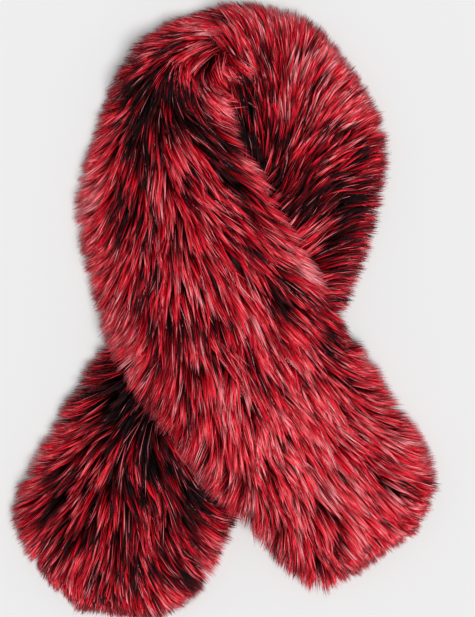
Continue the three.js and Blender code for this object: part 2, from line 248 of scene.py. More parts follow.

# Where the locks are darker or brighter: mostly blotches of uneven dye, and in places painted shade
# (inside the front's fold, on the neck beside it, on the tail near the crossing and over much of
# it) and painted light (along the fold's lit rim, at the whorl). x, y and radius in the photo's
# pixels, then how much darker (below 0) or brighter the locks there are.
FRONT_DYE_AND_LIGHT = [
    (164, 52, 13, -.7), (150, 75, 14, -.4), (163, 92, 11, -.8), (140, 108, 14, -.7),
    (122, 100, 10, -.5), (150, 128, 11, -.8), (128, 150, 10, -.4), (205, 14, 10, -.7),
    (178, 108, 10, -1.1), (190, 120, 10, -1.3), (203, 134, 9, -1.1), (215, 146, 9, -.8),
    (226, 156, 8, -1.1), (244, 158, 9, -.7), (234, 170, 8, -.8), (241, 186, 8, -.3),
    (214, 172, 8, -.4), (218, 112, 7, .9), (230, 128, 6, .6), (228, 186, 9, -.5),
    (248, 204, 9, -.8), (257, 224, 9, -.8), (260, 238, 9, -.4), (240, 257, 10, -.7),
    (265, 264, 8, -.9), (289, 282, 9, -1.1), (284, 314, 11, -1.3), (308, 300, 8, -.4),
    (330, 318, 10, -.9), (324, 352, 9, -.6), (342, 343, 9, -.7), (350, 374, 9, -.4),
    (366, 391, 8, -.5), (384, 417, 7, -.4), (368, 368, 10, .6), (392, 396, 8, .4),
    (229, 335, 10, -1.2), (246, 368, 9, -.6), (268, 395, 11, -1.4), (132, 160, 12, -.7),
    (150, 186, 11, -.9), (121, 212, 13, -.9), (118, 246, 11, -.5), (142, 240, 12, -.6),
    (147, 303, 12, -.7), (186, 212, 12, -.8), (180, 344, 10, -.8), (186, 314, 10, .5),
    (197, 340, 9, -.7), (185, 434, 9, -.8), (198, 420, 7, -.6), (240, 450, 9, -.4),
    (243, 474, 12, -.5), (247, 494, 9, -.5), (374, 468, 12, -.5), (398, 482, 10, -.4),
    (414, 484, 7, -.3), (315, 555, 12, -.4), (286, 551, 10, -.5), (150, 345, 20, -.5),
    (145, 150, 22, -.3), (178, 150, 13, -.5), (192, 38, 14, .6), (211, 46, 15, 1), (222, 58, 12, 1),
    (208, 86, 9, -.9), (222, 100, 9, -.5), (90, 178, 13, .9), (80, 208, 11, .7), (90, 240, 11, .4),
    (102, 158, 9, .5), (164, 215, 9, .7), (251, 327, 11, 1.2), (236, 306, 9, .5),
    (265, 348, 11, .6), (205, 311, 8, .6), (183, 304, 8, .4), (256, 170, 5, 1), (268, 188, 5, 1),
    (283, 211, 5, 1), (299, 235, 5, 1), (312, 268, 8, .9), (322, 276, 7, .8), (337, 290, 7, .8),
    (170, 423, 10, .6), (130, 364, 8, .8), (138, 384, 7, .6), (154, 404, 10, -.8),
    (154, 374, 12, -.5), (190, 408, 9, -.7), (131, 350, 11, .6), (216, 398, 9, .5),
    (232, 422, 9, .4), (296, 455, 42, .58), (282, 470, 14, .4), (332, 478, 24, .3),
    (288, 412, 20, .25), (248, 466, 16, .4), (358, 522, 18, .5), (312, 530, 15, .7),
    (245, 46, 12, .2), (408, 500, 12, .8), (414, 466, 10, .5), (402, 432, 9, .5), (426, 458, 9, .4),
    (248, 412, 18, .6), (275, 502, 14, -.5), (214, 282, 12, .4), (374, 532, 12, .6),
    (405, 440, 20, .3), (376, 438, 18, .2), (300, 530, 20, .2), (372, 500, 16, .2),
]
# Mostly dye; the dark patches beside the fold are painted shadow of the front.
NECK_DYE_AND_LIGHT = [
    (262, 44, 14, -.4), (272, 64, 12, -.3), (301, 36, 10, -.5), (301, 78, 9, -.3),
    (318, 88, 8, -.4), (245, 110, 9, -.5), (248, 142, 12, -.6), (240, 132, 9, -.4),
    (232, 80, 7, -1), (264, 182, 9, .3), (247, 90, 6, -.6), (330, 192, 20, -.8),
    (370, 184, 12, -.8), (292, 190, 12, -.6), (274, 172, 11, -.7), (312, 204, 10, -.6),
    (352, 228, 15, -.7), (350, 258, 12, -.6), (364, 208, 9, -.5), (342, 128, 9, -.8),
    (370, 158, 7, -.5), (280, 150, 10, -.3), (326, 270, 8, -.3), (308, 160, 14, -.4),
    (205, 12, 10, -.6), (282, 20, 11, .6), (296, 58, 14, .9), (284, 108, 12, .6), (286, 82, 10, .7),
    (350, 88, 13, .5), (366, 115, 15, .5), (338, 62, 14, 1), (374, 150, 11, -.7), (310, 228, 14, 1),
    (306, 240, 8, .5), (255, 130, 8, .3), (330, 110, 16, .3), (325, 285, 8, .3), (245, 22, 20, .7),
    (252, 56, 12, .4), (310, 54, 15, .8), (285, 15, 14, .4), (245, 118, 16, -.4),
    (268, 140, 16, -.3), (345, 285, 12, -.4), (350, 200, 20, -.2),
]
# Mostly dye; the dark patches near the crossing and over much of the tail are painted shade.
TAIL_DYE_AND_LIGHT = [
    (104, 368, 10, -.8), (115, 400, 13, -1.1), (128, 426, 16, -1.3), (116, 442, 12, -.6),
    (148, 446, 13, -.9), (166, 468, 14, -.7), (150, 492, 13, -.7), (184, 480, 12, -.4),
    (208, 505, 14, -1.1), (50, 482, 14, -.7), (45, 520, 14, -.7), (60, 546, 10, -.5),
    (124, 500, 12, -.7), (90, 512, 8, -.4), (130, 542, 9, -.5), (96, 546, 8, -.5),
    (165, 558, 10, -.4), (190, 577, 12, -.8), (125, 566, 8, -.4), (170, 505, 12, -.4),
    (85, 390, 10, -.5), (200, 545, 9, -.4), (85, 456, 10, .6), (111, 535, 8, .6), (85, 570, 8, .5),
    (170, 597, 8, .5), (60, 440, 9, .3), (196, 466, 9, .5), (221, 540, 8, .5), (75, 480, 8, .3),
    (130, 510, 90, -.22), (130, 590, 30, -.3), (88, 438, 12, -.4), (85, 400, 16, -.3),
    (215, 525, 16, -.3), (28, 500, 12, .3), (40, 465, 12, .3),
]


def to_plan(pixels):
    """Photo pixels as plan positions in millimetres."""
    pixels = np.asarray(pixels, float)
    return (pixels[..., :2] - PIXEL_ORIGIN) * (PIXEL_MM, -PIXEL_MM)


def smooth(value):
    """0 below 0, 1 above 1, and an S curve between."""
    value = np.clip(value, 0, 1)
    return value**2 * (3 - 2 * value)


def below(value, limit, reach):
    """0 above a limit, 1 where a value is lower than it by the reach, and an S curve between."""
    return smooth((limit - value) / reach)


def crown(share):
    """The pile's height at a share out from the middle: a crown with full shoulders."""
    return (1 - np.clip(np.abs(share), 0, 1) ** SHOULDER_POWER) ** CROWN_POWER


def end_crown(distance, rounding):
    """How much of its height a body has at a distance from a free end."""
    return crown(1 - np.clip(distance / rounding, 0, 1))


def unit(vectors):
    """Vectors divided by their length."""
    return vectors / np.maximum(np.linalg.norm(vectors, axis=-1, keepdims=True), 1e-9)


def ripple(points, size, wavelength, seed):
    """A smooth wandering value of about -size to size: five sine waves in random directions.

    Each is 0.7 to 1.5 wavelengths long, and half their number makes them about 1 together.
    """
    rng = np.random.default_rng(seed)
    total = 0
    for turn, phase, stretch in rng.random((5, 3)):
        direction = np.array([math.cos(math.tau * turn), math.sin(math.tau * turn)])
        wave = math.tau / (wavelength * (0.7 + 0.8 * stretch))
        total = total + np.sin(points[..., :2] @ direction * wave + math.tau * phase)
    return size * (total / 2.5)


# The band's runs


def between(rows, places):
    """Rows of a table at places between its rows, each column on a Catmull-Rom curve."""
    rows = np.asarray(rows, float)
    last = len(rows) - 1
    k = np.minimum(places.astype(int), last - 1)
    s = (places - k)[:, None]
    a, b, c, d = (rows[np.clip(k + i, 0, last)] for i in (-1, 0, 1, 2))
    return b + 0.5 * s * (c - a + s * (2 * a - 5 * b + 4 * c - d + s * (3 * (b - c) + d - a)))


def make_run(rows):
    """Samples of a run: middle, heading, left side, half width, loft, and length along it.

    Length is half the step along the middle and half the longer step along an edge.
    """
    x, y, width, turn, loft = between(rows, np.linspace(0, len(rows) - 1, SAMPLES + 1)).T
    turn = np.radians(turn)
    middle, half = np.stack([x, y], 1), width / 2
    side = np.stack([-np.sin(turn), np.cos(turn)], 1)
    right, centre, left = (
        np.linalg.norm(np.diff(middle + a * half[:, None] * side, axis=0), axis=1)
        for a in (-1, 0, 1)
    )
    return {
        "middle": middle,
        "heading": np.stack([np.cos(turn), np.sin(turn)], 1),
        "side": side,
        "half": half,
        "loft": loft,
        "length": np.r_[0, np.cumsum(0.5 * (centre + np.maximum(right, left)))],
    }


def at_length(run, name, lengths):
    """One of a run's samples at lengths along it."""
    values = run[name]
    if values.ndim == 1:
        return np.interp(lengths, run["length"], values)
    return np.stack([np.interp(lengths, run["length"], v) for v in values.T], -1)


# Plan maps: what a run is like over each cell of the floor


def grid(shape):
    """The whole numbers of a grid's places."""
    return np.stack(np.meshgrid(*[np.arange(n) for n in shape], indexing="ij"), -1)


def read_map(field, points):
    """A plan map at plan points, bilinear between its cells."""
    place = (points[..., :2] - MAP_LOW) / CELL
    place = np.clip(place, 0, np.array(MAP_SHAPE) - 1.001)
    low = place.astype(int)
    share = place - low
    i, j = low[..., 0], low[..., 1]
    s, t = share[..., 0], share[..., 1]
    if field.ndim == 3:
        s, t = s[..., None], t[..., None]
    near = field[i, j] * (1 - t) + field[i, j + 1] * t
    far = field[i + 1, j] * (1 - t) + field[i + 1, j + 1] * t
    return near * (1 - s) + far * s


def map_run(run):
    """Finds for each cell the section abreast of it that it is nearest the middle of.

    Keeps the share out from the middle, half width, loft, distance to the free end, distance
    inside the outline, and the way out of the run.
    """
    floor = MAP_LOW + CELL * grid(MAP_SHAPE)
    best = np.full(MAP_SHAPE, np.inf)
    out = {name: np.zeros(MAP_SHAPE) for name in ("share", "half", "loft", "to_end")}
    total = run["length"][-1]
    for k in range(0, SAMPLES + 1, MAP_STEP):
        offset = floor - run["middle"][k]
        along = offset @ run["heading"][k]
        behind = np.minimum(BEHIND_SEAM, np.maximum(0, -along)) if k == 0 else 0
        share = np.abs(offset @ run["side"][k]) / run["half"][k]
        score = share + np.maximum(0, np.abs(along + behind) - ABREAST) / OFF_LINE
        better = score < best
        best[better] = score[better]
        out["share"][better] = share[better]
        out["half"][better] = run["half"][k]
        out["loft"][better] = run["loft"][k]
        out["to_end"][better] = (total - run["length"][k] - along)[better]
    out["inside"] = np.minimum((1 - out["share"]) * out["half"], out["to_end"] + END_REACH)
    out["outward"] = -unit(np.stack(np.gradient(out["inside"]), -1))
    out["base"] = out["over"] = out["spill"] = np.zeros(MAP_SHAPE)
    run["map"] = out
    return run


def lay_over(top_run, under_run, fold_end):
    """Sets the height that the top run lies on: the pile below it, and a soft slope beside it.

    Also sets over, which is 1 where it lies over the under run as a fold, up to a length along
    that run, and spill, which is 1 where it lies over the rest of it and hangs further out.
    """
    under, top = under_run["map"], top_run["map"]
    pile = RIM_HEIGHT + (under["loft"] - RIM_HEIGHT) * crown(under["share"])
    beside = np.maximum(0, (under["share"] - 1) * under["half"])
    beside = np.hypot(beside, np.maximum(0, -under["to_end"]))
    length = top_run["length"][-1] - top["to_end"]
    climb = smooth((length - CLIMB_FROM) / CLIMB_LENGTH)
    top["base"] = pile * smooth(1 - beside / DRAPE_REACH) * climb
    along = under_run["length"][-1] - under["to_end"]
    fold = (along > 0) * smooth(0.5 + (fold_end - along) / FOLD_FADE)
    above = smooth(0.5 + under["inside"] / ABOVE_FADE)
    top["over"] = above * fold
    top["spill"] = above * (along > 0) - top["over"]


def pile_space(run, points):
    """The pile's underside and top over plan points.

    The top is the base, the rim and the loft's crown on it. The underside is flat up to the
    contact, and from there a quarter circle goes up to the rim.
    """
    share, half, loft, to_end, base = (
        read_map(run["map"][name], points) for name in ("share", "half", "loft", "to_end", "base")
    )
    share = np.minimum(share, 1 - NOSE / np.maximum(half, 1))
    to_end = np.maximum(to_end, NOSE)
    top = base + RIM_HEIGHT + (loft - RIM_HEIGHT) * crown(share) * end_crown(to_end, END_ROUNDING)
    edge = np.maximum((share - CONTACT) / (1 - CONTACT), 1 - to_end / ((1 - CONTACT) * half))
    under = base + RIM_HEIGHT * (1 - np.sqrt(1 - np.clip(edge, 0, RIM_SHARE) ** 2))
    return under, top


def share_outline(run, other):
    """Behind its seam a run's outline is the other run's, which goes on from it there."""
    behind = run["map"]["to_end"] > run["length"][-1]
    run["map"]["inside"] = np.where(behind, other["map"]["inside"], run["map"]["inside"])


under_run = map_run(make_run(UNDER_SECTIONS))
front_run = map_run(make_run(FRONT_SECTIONS))
share_outline(under_run, front_run)
share_outline(front_run, under_run)
JOIN = float(under_run["length"][round(JOIN_SECTION / (len(UNDER_SECTIONS) - 1) * SAMPLES)])
lay_over(front_run, under_run, JOIN)


# Meshes from arrays


def mesh_piece(name, points, corners, sizes, material, uv=None):
    """A piece from points in millimetres, its faces' corners in a row, and faces' sizes."""
    mesh = bpy.data.meshes.new(name)
    mesh.vertices.add(len(points))
    mesh.loops.add(len(corners))
    mesh.polygons.add(len(sizes))
    mesh.vertices.foreach_set("co", (np.asarray(points) * MM).ravel())
    mesh.loops.foreach_set("vertex_index", corners)
    mesh.polygons.foreach_set("loop_start", np.r_[0, np.cumsum(sizes)[:-1]])
    mesh.polygons.foreach_set("use_smooth", np.ones(len(sizes), bool))
    if uv is not None:
        layer = mesh.uv_layers.new(name="OFBake")
        layer.data.foreach_set("uv", uv[corners].ravel())
    mesh.update(calc_edges=True)
    mesh.materials.append(material)
    piece = bpy.data.objects.new(name, mesh)
    bpy.context.scene.collection.objects.link(piece)
    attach(piece, "root")
    return piece


def ring_piece(name, rings, material):
    """The closed body through rings of 2n points, over the top and back underneath.

    The ends are closed by faces from each top point to the one below it.
    """
    count, n = rings.shape[1], rings.shape[1] // 2
    i, j = np.meshgrid(np.arange(len(rings) - 1), np.arange(count), indexing="ij")
    k = (j + 1) % count
    walls = np.stack([i * count + j, (i + 1) * count + j, (i + 1) * count + k, i * count + k], -1)
    faces = [list(f) for f in walls.reshape(-1, 4)]
    far = (len(rings) - 1) * count
    for j in range(n):
        near_cap = [j, j + 1, (count - j - 1) % count, (count - j) % count]
        near_cap = list(dict.fromkeys(near_cap))
        faces.append(near_cap)
        faces.append([far + c for c in reversed(near_cap)])
    sizes = np.array([len(f) for f in faces])
    return mesh_piece(name, rings.reshape(-1, 3), np.concatenate(faces), sizes, material)


def inner_rings(run, start, end, free_end, height):
    """Rings of a body inside the pile, narrower than it by the overhang.

    height(share, base, loft, to_end) gives a ring's underside and top.
    """
    if free_end:
        end = end - END_OVERHANG
    lengths = np.linspace(start, end, int((end - start) / RING_STEP) + 1)
    if free_end:
        lengths = np.unique(np.r_[lengths, end - np.array(END_RINGS)])
    half = at_length(run, "half", lengths)
    inner = half - np.minimum(PILE_OVERHANG, OVERHANG_SHARE * half)
    share = -np.cos(np.pi * np.arange(RING_FACES + 1) / RING_FACES)
    middle, side = at_length(run, "middle", lengths), at_length(run, "side", lengths)
    plan = middle[:, None] + side[:, None] * (share[None, :, None] * inner[:, None, None])
    base = read_map(run["map"]["base"], plan)
    loft = at_length(run, "loft", lengths)[:, None]
    to_end = (end - lengths)[:, None] if free_end else np.full((len(lengths), 1), NO_END)
    low, high = height(share[None, :], base, loft, to_end)
    over = np.concatenate([plan, np.broadcast_to(high, base.shape)[..., None]], -1)
    back = np.concatenate([plan, np.broadcast_to(low, base.shape)[..., None]], -1)
    return np.concatenate([over, back[:, -2:0:-1]], axis=1), lengths, inner


def hide_height(share, base, loft, to_end):
    """A hide of even thickness that lies on the base and thins at its cut edges."""
    low = base + HIDE_LIFT
    return low, low + HIDE_THICKNESS * np.sqrt(np.maximum(0, 1 - share**HIDE_EDGE_POWER))


def underfur_height(share, base, loft, to_end):
    """From just over the hide up to a crown that stays the underfur's depth below the pile."""
    low = base + HIDE_LIFT + HIDE_THICKNESS + UNDERFUR_LIFT
    end = np.maximum(end_crown(to_end, UNDERFUR_ROUNDING), UNDERFUR_LEAST)
    return low, low + (loft - UNDERFUR_DEPTH - low + base) * crown(share) * end


def top_faces(rings):
    """The four corners of each face on the top of rings, and twice its area."""
    top = rings[:, : rings.shape[1] // 2 + 1]
    a, b, c, d = top[:-1, :-1], top[1:, :-1], top[1:, 1:], top[:-1, 1:]
    near = np.linalg.norm(np.cross(b - a, c - a), axis=-1)
    return (a, b, c, d), near + np.linalg.norm(np.cross(c - a, d - a), axis=-1)


def cloth_area(rings):
    """The area of a thin body's cloth, which is that of its top, in square metres."""
    return float(top_faces(rings)[1].sum()) / 2 * MM**2


# Guard hair


def squared_gaps(table, points):
    """The squared distances in plan from each point to each of a table's places."""
    return ((points[..., None, :2] - to_plan(table)) ** 2).sum(-1)


def comb_direction(table, points):
    """The hair's direction: the table's, weighted by 1 / (distance² + reach²)²."""
    angle = np.radians(np.asarray(table, float)[:, 2])
    ways = np.stack([np.cos(angle), np.sin(angle)], 1)
    weight = 1 / (squared_gaps(table, points) + COMB_REACH**2) ** 2
    return unit(weight @ ways)


def turned(vectors, angle):
    """Plan vectors turned by angles."""
    c, s = np.cos(angle), np.sin(angle)
    x, y = vectors[..., 0], vectors[..., 1]
    return np.stack([c * x - s * y, s * x + c * y], -1)


def patches(table, points):
    """The sum over a table's round patches of strength exp(-gap² / (2 radius²))."""
    table = np.asarray(table, float)
    return np.exp(-squared_gaps(table, points) / (2 * (table[:, 2] * PIXEL_MM) ** 2)) @ table[:, 3]


def roots_on(rings, count, rng, seen):
    """Random points on the top of rings, even over its area times seen(points)."""
    (a, b, c, d), area = top_faces(rings)
    weight = (area * seen((a + b + c + d) / 4)).ravel()
    pick = rng.choice(len(weight), count, p=weight / weight.sum())
    s, t = rng.random((2, count, 1))
    a, b, c, d = (corner.reshape(-1, 3)[pick] for corner in (a, b, c, d))
    return a * (1 - s) * (1 - t) + b * s * (1 - t) + c * s * t + d * (1 - s) * t


def gather(points, direction, seed):
    """How far tips move sideways, towards the middle of the tuft that they are in."""
    stray = np.random.default_rng(seed).random((*TUFT_GRID, 2)) * TUFT_STRAY
    centres = MAP_LOW + TUFT_CELL * (grid(TUFT_GRID) + stray)
    cell = np.clip(((points - MAP_LOW) / TUFT_CELL).astype(int), 1, np.array(TUFT_GRID) - 2)
    near, closest = np.full(len(points), np.inf), np.zeros_like(points)
    for di in (-1, 0, 1):
        for dj in (-1, 0, 1):
            centre = centres[cell[:, 0] + di, cell[:, 1] + dj]
            gap = ((centre - points) ** 2).sum(1)
            nearer = gap < near
            near[nearer], closest[nearer] = gap[nearer], centre[nearer]
    across = np.stack([-direction[:, 1], direction[:, 0]], 1)
    return across * ((closest - points) * across).sum(1, keepdims=True) * TUFT_PULL


def curve_place(curve, weights):
    """A place on each leader's curve: root + length (first weights[0] + second weights[1]).

    A curve is root + length (first t + (second - first) t² / 2). So the weights are t - t² / 2
    and t² / 2.
    """
    plan, first, second, length = curve
    return plan + (first * weights[0] + second * weights[1]) * length[:, None]


def comb_leaders(run, comb, roots, rng, seed):
    """The plan curve of each lock's leader, and the levels of its root and tip.

    The first direction is the comb's at the root, turned outward where the root is low or near
    the edge. The second is the comb's further on. Both wander a little. A leader whose tip is
    out past its limit is cut to the share of its length that comes up to it. Levels are shares
    of the pile's height, from its underside to its top, and the tip rises towards the top.
    """
    plan = roots[:, :2]
    count = len(roots)
    under, top = pile_space(run, plan)
    level = np.clip((roots[:, 2] - under) / np.maximum(top - under, 1), *ROOT_LEVELS)
    outward, inside, over, spill = (
        read_map(run["map"][name], plan) for name in ("outward", "inside", "over", "spill")
    )

    first = comb_direction(comb, plan)
    combed_in = below((first * outward).sum(1), *COMBED_IN)
    away = below(level, *LOW_ROOTS) * LOW_AWAY + below(inside, *NEAR_EDGE) * EDGE_AWAY * combed_in
    away = (away * (1 - CALM_FOLD * over))[:, None]
    first = unit(first * (1 - np.minimum(away, MOST_AWAY)) + outward * away)
    wander = ripple(plan, *WANDER, seed) + ripple(plan, *SHORT_WANDER, seed + 1)
    first = turned(first, wander + rng.normal(0, LOCK_TURN, count))
    length = rng.uniform(*STRAND_LENGTH, count) * (1 + ripple(plan, *LENGTH_WAVES, seed + 2))
    second = comb_direction(comb, plan + first * length[:, None] * SECOND_AT)
    second = unit(second * (1 - SECOND_AWAY * away) + outward * SECOND_AWAY * away)
    second = turned(second, wander * SECOND_WANDER + rng.normal(0, SECOND_TURN, count))

    limit = rng.uniform(TIPS_FROM, TIPS_TO, count)
    limit = limit - np.abs(ripple(plan, *EDGE_WAVES, seed + 3)) + EDGE_MEAN
    limit = limit + FOLD_BACK * over - SPILL * spill
    for _ in range(CUT_ROUNDS):
        depth = read_map(run["map"]["inside"], curve_place((plan, first, second, length), AT_TIP))
        cut = (inside - limit) / np.maximum(inside - depth, 1e-3)
        length = np.where(depth < limit, length * np.clip(cut, MOST_CUT, 1), length)

    rise = smooth((level - RISE[0]) / RISE[1]) * (1 - SUNK * rng.random(count) ** SUNK_POWER)
    tip_level = level + (1.0 - level) * rise + rng.normal(0, TIP_SPREAD, count)
    return (plan, first, second, length), level, np.clip(tip_level, *TIP_LEVELS)


def lock_dye_and_light(run, dyes_and_light, curve, fringe, rng, seed):
    """Each lock's dye with painted shade and light, and what the patches add up to where it shows.

    The value is the mean, a random draw, slow waves and the patches' darkening or brightening,
    which is partly dye and partly painted shade and light. It is paler in the fringe, partly for
    the pale tips there and partly painted light, and painted shade darkens it where the under run's
    hair goes under the front.
    """
    dye_and_light = DYE_MEAN + rng.normal(0, LOCK_SPREAD, len(fringe)) + ripple(curve[0], *DYE_WAVES, seed)
    patch = np.clip(patches(dyes_and_light, curve_place(curve, SHOWN_AT)), -MOST_PATCH, MOST_PATCH)
    dye_and_light = dye_and_light + np.where(patch < 0, DARKER * patch, BRIGHTER * patch)
    # Paler fringe: partly pale tips, partly painted light at the edge.
    dye_and_light = dye_and_light + PALE_AND_LIT_EDGE * fringe
    # Painted shade: the under run's hair is darker beside and under the front's fold.
    if run is under_run:
        past = read_map(front_run["map"]["inside"], curve_place(curve, AT_TIP))
        dye_and_light = dye_and_light - PAINTED_FOLD_SHADE * smooth(1 + past / FOLD_SHADE_REACH)
    return dye_and_light, patch


def member_lines(run, curve, level, tip_level, fringe, tuft, rng):
    """The middle lines of the members of each lock, point by point from root to tip.

    A member's root is somewhere in a disc round its leader's. The disc narrows along the lock,
    less so in the fringe. A member is a little shorter or longer than its leader, and its tip
    strays and moves into its tuft. Its level goes from the root's to the tip's, and droops.
    """
    plan, first, second, length = curve
    size = (len(plan), LOCK_MEMBERS)
    one = (slice(None), None, None)
    t = STRAND_AT[None, None, :, None]
    reach = rng.uniform(*MEMBER_REACH, size) * (1 - EVEN_FRINGE * fringe[:, None])
    reach = (1 + reach)[..., None, None] * t
    angle, radius = rng.random((2, *size))
    way = np.stack([np.cos(math.tau * angle), np.sin(math.tau * angle)], -1)
    spread = (LOCK_RADIUS * np.sqrt(radius)[..., None] * way)[:, :, None]
    loose = rng.normal(0, LOOSE, (*size, 1, 2))
    line = plan[one] + length[:, None, None, None] * (
        first[one] * reach + (second - first)[one] * reach**2 / 2)
    kept = LOCK_TIP + OPEN_FRINGE * fringe[:, None, None, None]
    line = line + spread * (kept + (1 - kept) * (1 - t) ** LOCK_POWER) + loose * t**2
    line = line + tuft[one] * (1 - CALM_FRINGE * fringe[:, None, None, None]) * t**TUFT_POWER

    under, top = pile_space(run, line)
    start = level[:, None, None] + rng.normal(0, MEMBER_ROOTS, (*size, 1))
    finish = tip_level[:, None, None] + rng.normal(0, MEMBER_TIPS, (*size, 1))
    share = start + (finish - start) * (1 - (1 - STRAND_AT[None, None]) ** RISE_POWER)
    droop = DROOP * np.maximum(0, STRAND_AT - DROOP_FROM)[None, None] / DROOP_OVER
    share = share - droop * rng.random((*size, 1))
    height = np.maximum(under + (top - under) * share, LEAST_HEIGHT)
    return np.concatenate([line, height[..., None]], -1).reshape(-1, len(STRAND_AT), 3)


def grow_hair(run, comb, dyes_and_light, roots, rng, seed):
    """The middle lines, radii and dye values of all strands, painted highlight strands and shade
    included: members that run to a leader's tip.
    """
    curve, level, tip_level = comb_leaders(run, comb, roots, rng, seed)
    tip = curve_place(curve, AT_TIP)
    tuft = gather(tip, unit(curve[1] + curve[2]), seed + 4)
    fringe = below(read_map(run["map"]["inside"], tip), *FRINGE)
    dye_and_light, patch = lock_dye_and_light(run, dyes_and_light, curve, fringe, rng, seed + 5)
    lines = member_lines(run, curve, level, tip_level, fringe, tuft, rng)

    size = (len(roots), LOCK_MEMBERS)
    # Pale strands are painted highlights: thinner, and fewer in dark patches.
    painted_highlight = rng.random(size) < PAINTED_HIGHLIGHTS * (1 + FEWER_PAINTED_HIGHLIGHTS * np.clip(patch, -1, 0))[:, None]
    own = dye_and_light[:, None] + rng.normal(0, STRAND_SPREAD, size)
    own = np.where(painted_highlight, PAINTED_HIGHLIGHT_DYE + PAINTED_HIGHLIGHT_SPREAD * rng.random(size), own)
    thick = rng.uniform(*STRAND_RADIUS, size) * np.where(painted_highlight, PAINTED_HIGHLIGHT_THICKNESS, 1)
    return lines, thick.ravel(), np.clip(own, *DYE_LIMITS).ravel()


def strand_mesh(name, lines, radii, dyes_and_light, material):
    """Closed three-sided tapered strands, all in one mesh.

    Its map runs from root to tip one way and with the dye, painted highlights and shade included,
    the other way.
    """
    count, sides = len(lines), 3
    last = sides * (len(STRAND_AT) - 1)  # the tip's place among a strand's points
    ahead = np.empty_like(lines)
    ahead[:, 1:-1] = lines[:, 2:] - lines[:, :-2]
    ahead[:, 0] = lines[:, 1] - lines[:, 0]
    ahead[:, -1] = lines[:, -1] - lines[:, -2]
    ahead = unit(ahead)
    side = unit(np.cross(ahead, [0.0, 0.0, 1.0]))
    rise = np.cross(ahead, side)
    turn = math.tau * np.arange(sides) / sides
    ring = side[:, :-1, None] * np.cos(turn)[:, None] + rise[:, :-1, None] * np.sin(turn)[:, None]
    ring = lines[:, :-1, None] + ring * (radii[:, None] * STRAND_TAPER)[..., None, None]
    points = np.concatenate([ring.reshape(count, last, 3), lines[:, -1:]], axis=1)
    points[..., 2] = np.maximum(points[..., 2], LEAST_CLEARANCE)
    steps = [(i, (i + 1) % sides) for i in range(sides)]
    around = [[r + i, r + j, r + sides + j, r + sides + i]
              for r in range(0, last - sides, sides) for i, j in steps]
    tip = [[last - sides + i, last - sides + j, last] for i, j in steps]
    one = np.concatenate([np.ravel(around), np.ravel(tip), [2, 1, 0]])
    corners = (one[None] + (last + 1) * np.arange(count)[:, None]).ravel()
    sizes = np.tile([4] * len(around) + [3] * (len(tip) + 1), count)
    along = np.r_[np.repeat(STRAND_AT[:-1], sides), 1.0]
    beside = np.r_[np.tile([-DYE_STRIP, 0.0, DYE_STRIP], len(STRAND_AT) - 1), 0.0]
    uv = np.stack([np.broadcast_to(along, (count, last + 1)), dyes_and_light[:, None] + beside], -1)
    return mesh_piece(name, points.reshape(-1, 3), corners, sizes, material, uv.reshape(-1, 2))


# Materials


def linear(colour, alpha=1.0):
    """An sRGB hex colour as linear values."""
    values = [int(colour[i : i + 2], 16) / 255 for i in (1, 3, 5)]
    return [v / 12.92 if v <= 0.04045 else ((v + 0.055) / 1.055) ** 2.4 for v in values] + [alpha]


def node(tree, kind, values=None, **settings):
    """A node of a kind, with its settings and the values or links of its inputs."""
    made = tree.nodes.new("ShaderNode" + kind)
    for key, value in settings.items():
        setattr(made, key, value)
    for key, value in (values or {}).items():
        if isinstance(value, bpy.types.NodeSocket):
            tree.links.new(value, made.inputs[key])
        else:
            made.inputs[key].default_value = value
    return made


def ramp(tree, factor, stops):
    """A colour ramp through (place, colour) stops."""
    made = node(tree, "ValToRGB", {"Fac": factor})
    elements = made.color_ramp.elements
    while len(elements) < len(stops):
        elements.new(0.5)
    for element, (place, colour) in zip(elements, stops):
        element.position, element.color = place, linear(colour)
    return made.outputs["Color"]


def ranged(tree, value, start, end, low, high):
    """A value that goes from low to high while another goes from start to end."""
    made = node(tree, "MapRange", {"Value": value, 1: start, 2: end, 3: low, 4: high})
    return made.outputs["Result"]


def product(tree, one, other):
    """Two values multiplied."""
    return node(tree, "Math", {0: one, 1: other}, operation="MULTIPLY").outputs[0]


def mixed(tree, share, one, other, **settings):
    """A share of the other colour in one, mixed or blended as the settings say."""
    return node(tree, "Mix", {0: share, 6: one, 7: other}, data_type="RGBA", **settings).outputs[2]


def noise(tree, where, scale, detail):
    """Noise in a piece's own space."""
    values = {"Vector": where.outputs["Object"], "Scale": scale, "Detail": detail}
    return node(tree, "TexNoise", values).outputs["Fac"]


def finish_material(tree, shader, colour, roughness, bump=None):
    """Sets a shader's colour and roughness, and its bump from a height and two numbers."""
    tree.links.new(colour, shader.inputs["Base Color"])
    shader.inputs["Roughness"].default_value = roughness
    if bump:
        height, strength, distance = bump
        made = node(tree, "Bump", {"Height": height, "Strength": strength, "Distance": distance})
        tree.links.new(made.outputs["Normal"], shader.inputs["Normal"])


def new_material(name):
    """A material, its node tree and its shader."""
    material = bpy.data.materials.new(name)
    material.use_nodes = True
    tree = material.node_tree
    return material, tree, tree.nodes["Principled BSDF"]


